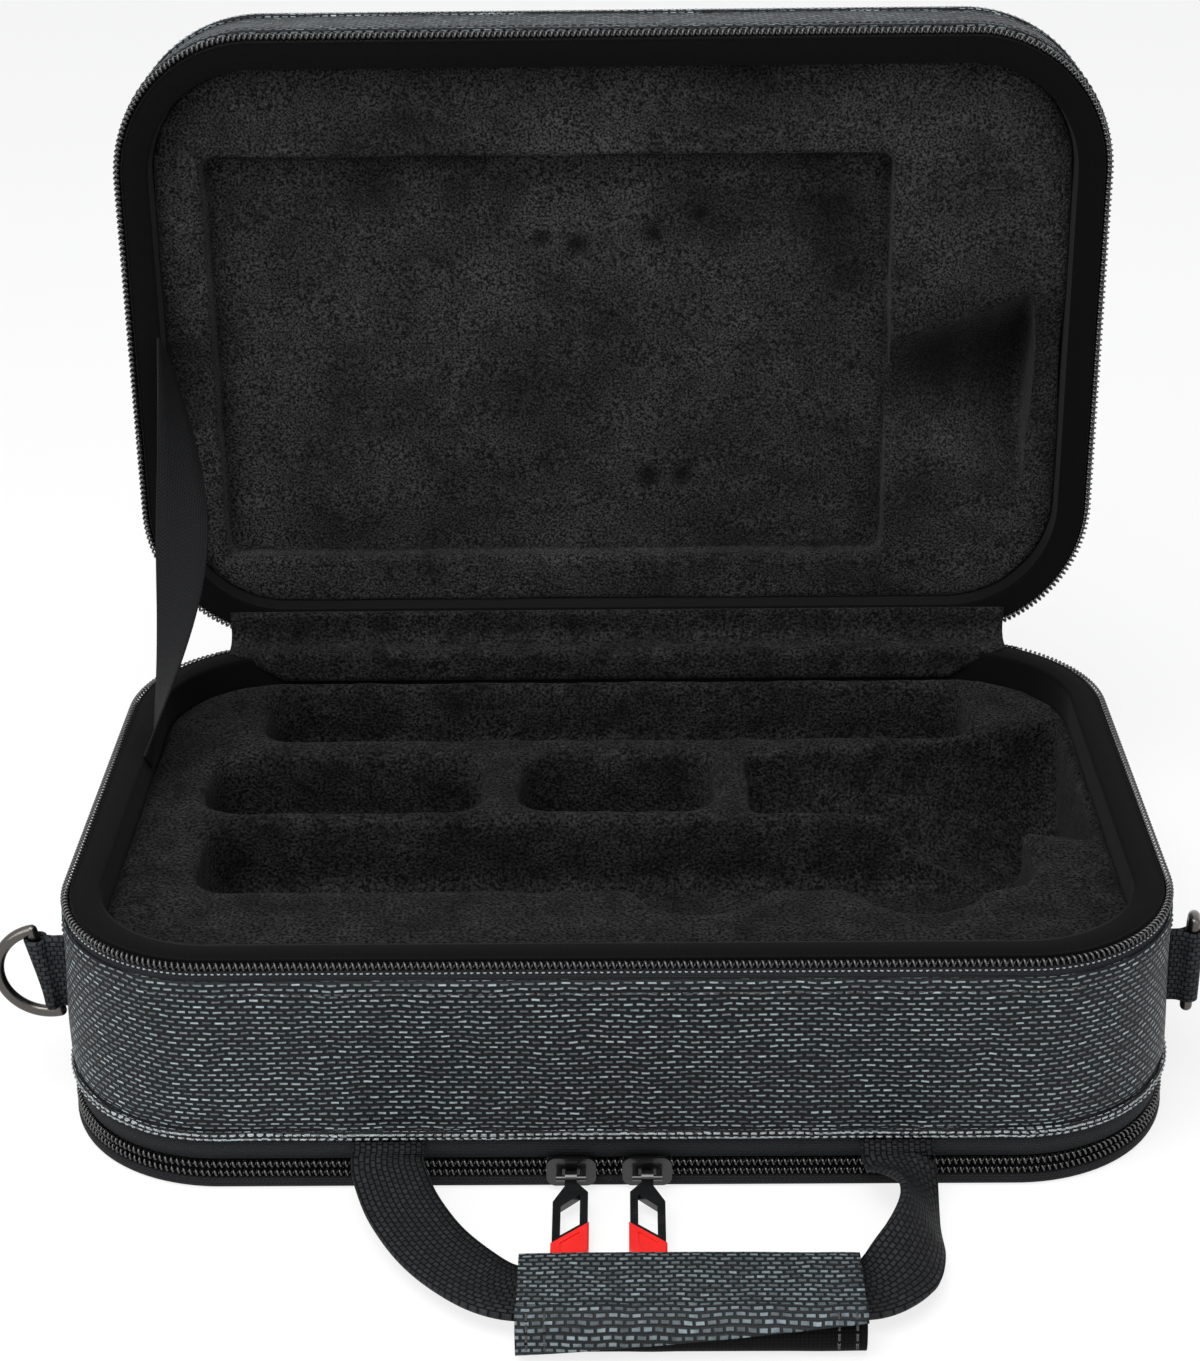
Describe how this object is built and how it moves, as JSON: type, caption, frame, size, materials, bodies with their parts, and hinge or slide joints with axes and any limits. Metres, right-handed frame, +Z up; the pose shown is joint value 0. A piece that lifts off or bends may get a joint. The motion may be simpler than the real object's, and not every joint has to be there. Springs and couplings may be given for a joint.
{
  "type": "clarinet case",
  "caption": "Soft zip-up case for a taken-apart clarinet: padded base with shaped hollows, hinged lid with recess, flat pocket below, strap rings and a webbing handle.",
  "frame": {"origin": "centre of the flat underside that the case stands on", "axes": "+Z up, +Y to the hinge at the back, +X along the case's length to the right"},
  "size_m": [0.3816, 0.3493, 0.2986],
  "materials": {
    "nylon": "woven ballistic nylon",
    "binding": "woven tape",
    "coil": "nylon coil",
    "tape": "herringbone tape",
    "foam": "closed-cell foam",
    "knit": "fine knit",
    "plush": "short plush",
    "webbing": "ribbed webbing",
    "ribbon": "flat ribbon",
    "black_metal": "glossy black enamel",
    "gunmetal": "dark nickel plate",
    "red_rubber": "moulded rubber"
  },
  "bodies": {
    "base": {"pocket_panel": "nylon", "pocket_hem": "binding", "pocket_coil_lower": "coil", "pocket_coil_upper": "coil", "pocket_tape": "tape", "base_shell": "foam", "base_cover": "nylon", "base_hem": "nylon", "base_rim_band": "knit", "base_zipper_tape": "tape", "base_zipper_coil": "coil", "insert_front": "plush", "insert_middle": "plush", "insert_back": "plush", "handle_anchor_left": "webbing", "handle_anchor_right": "webbing", "hinge_flap": "plush", "hinge_spine": "nylon", "stay_ribbon": "ribbon", "ring_tab_left": "webbing", "ring_tab_right": "webbing", "main_slider_left": "black_metal", "main_slider_right": "black_metal"},
    "lid": {"lid_shell": "foam", "lid_cover": "nylon", "lid_hem": "nylon", "lid_rim_band": "knit", "lid_zipper_tape": "tape", "lid_zipper_coil": "coil", "lid_liner": "plush"},
    "handle": {"handle_strap": "webbing", "grip_core": "foam", "grip_wrap": "nylon", "grip_flap": "nylon"},
    "ring_left": {"ring_left": "gunmetal"},
    "ring_right": {"ring_right": "gunmetal"},
    "pocket_slider_left": {"pocket_slider_left": "black_metal"},
    "pocket_slider_right": {"pocket_slider_right": "black_metal"},
    "pocket_pull_left": {"pocket_pull_left": "black_metal", "pocket_pull_tip_left": "red_rubber"},
    "pocket_pull_right": {"pocket_pull_right": "black_metal", "pocket_pull_tip_right": "red_rubber"},
    "main_pull_left": {"main_pull_left": "black_metal", "main_pull_tip_left": "red_rubber"},
    "main_pull_right": {"main_pull_right": "black_metal", "main_pull_tip_right": "red_rubber"}
  },
  "joints": [
    {"name": "lid_hinge", "type": "hinge", "parent": "base", "child": "lid", "pos_m": [0, 0.11, 0.079], "axis": [1, 0, 0], "range_deg": [0, 92.7], "deforming": ["hinge_flap", "hinge_spine", "stay_ribbon"]},
    {"name": "handle_swing", "type": "hinge", "parent": "base", "child": "handle", "pos_m": [0, -0.1147, 0.0136], "axis": [-1, 0, 0], "range_deg": [0, 85], "deforming": ["handle_strap"]},
    {"name": "ring_left_swing", "type": "hinge", "parent": "base", "child": "ring_left", "pos_m": [-0.1798, -0.059, 0.045], "axis": [-0.2079, 0, 0.9781], "range_deg": [-85, 85]},
    {"name": "ring_right_swing", "type": "hinge", "parent": "base", "child": "ring_right", "pos_m": [0.1798, -0.059, 0.045], "axis": [0, 0, 1], "range_deg": [-160, 7]},
    {"name": "pocket_zip_left", "type": "slide", "parent": "base", "child": "pocket_slider_left", "axis": [-1, 0, 0], "range_m": [0, 0.095]},
    {"name": "pocket_pull_left_lift", "type": "hinge", "parent": "pocket_slider_left", "child": "pocket_pull_left", "pos_m": [-0.014, -0.11625, 0.00675], "axis": [-1, 0, 0], "range_deg": [0, 88]},
    {"name": "pocket_zip_right", "type": "slide", "parent": "base", "child": "pocket_slider_right", "axis": [1, 0, 0], "range_m": [0, 0.095]},
    {"name": "pocket_pull_right_lift", "type": "hinge", "parent": "pocket_slider_right", "child": "pocket_pull_right", "pos_m": [0.009, -0.11625, 0.00675], "axis": [-1, 0, 0], "range_deg": [0, 88]},
    {"name": "main_pull_left_lift", "type": "hinge", "parent": "base", "child": "main_pull_left", "pos_m": [-0.14288, 0.11013, 0.072], "axis": [0.9165, 0.4, 0], "range_deg": [0, 90]},
    {"name": "main_pull_right_lift", "type": "hinge", "parent": "base", "child": "main_pull_right", "pos_m": [0.14288, 0.11013, 0.072], "axis": [0.9165, -0.4, 0], "range_deg": [0, 90]}
  ]
}
